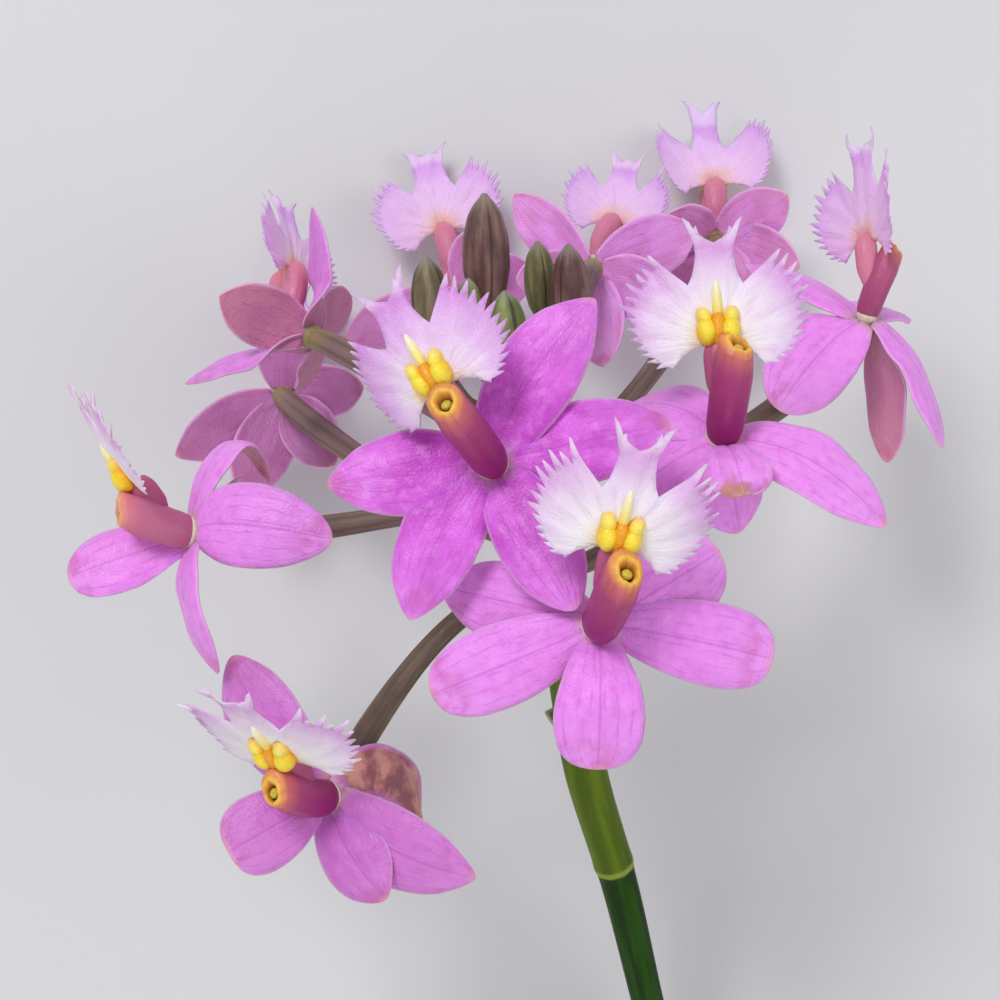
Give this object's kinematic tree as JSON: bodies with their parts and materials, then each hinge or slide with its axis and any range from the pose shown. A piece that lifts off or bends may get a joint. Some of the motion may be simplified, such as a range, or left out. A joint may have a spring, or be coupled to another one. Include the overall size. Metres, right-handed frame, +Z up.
{
  "type": "epidendrum orchid",
  "caption": "Cut flower head of a magenta-pink reed-stem orchid with fringed white lips, lying on its back.",
  "frame": {"origin": "middle of the bounding box in X and Y, on the surface the flower head lies on", "axes": "+Y towards the top of the flower head, away from the cut end of the stem; +Z up, towards the front of the head; +X to the right of the picture"},
  "size_m": [0.0894, 0.1356, 0.0811],
  "materials": {
    "stem": "satin, fresh green stalk",
    "pedicel": "satin, olive-brown stalk",
    "tepal": "satin petal with a cell sparkle",
    "column": "satin, waxy",
    "lip": "matt petal",
    "bud": "satin"
  },
  "bodies": {
    "root": {"stem": "stem", "bud_tall": "bud", "bud_left": "bud", "bud_green_top": "bud", "bud_green_low": "bud", "bud_right_back": "bud", "bud_right": "bud", "bud_small": "bud", "perianth_left": "tepal", "perianth_low_left": "tepal", "perianth_centre": "tepal", "perianth_front": "tepal", "perianth_right": "tepal", "perianth_far_right": "tepal", "perianth_top_right": "tepal", "perianth_top": "tepal", "perianth_top_left": "tepal", "perianth_high_left": "tepal", "perianth_mid_left": "tepal", "column_left": "column", "column_low_left": "column", "column_centre": "column", "column_front": "column", "column_right": "column", "column_far_right": "column", "column_top_right": "column", "column_top": "column", "column_top_left": "column", "column_high_left": "column", "column_mid_left": "column", "lip_left": "lip", "lip_low_left": "lip", "lip_centre": "lip", "lip_front": "lip", "lip_right": "lip", "lip_far_right": "lip", "lip_top_right": "lip", "lip_top": "lip", "lip_top_left": "lip", "lip_high_left": "lip", "lip_mid_left": "lip", "pedicel_left": "pedicel", "pedicel_low_left": "pedicel", "pedicel_centre": "pedicel", "pedicel_front": "pedicel", "pedicel_right": "pedicel", "pedicel_far_right": "pedicel", "pedicel_top_right": "pedicel", "pedicel_top": "pedicel", "pedicel_top_left": "pedicel", "pedicel_high_left": "pedicel", "pedicel_mid_left": "pedicel"}
  },
  "joints": []
}
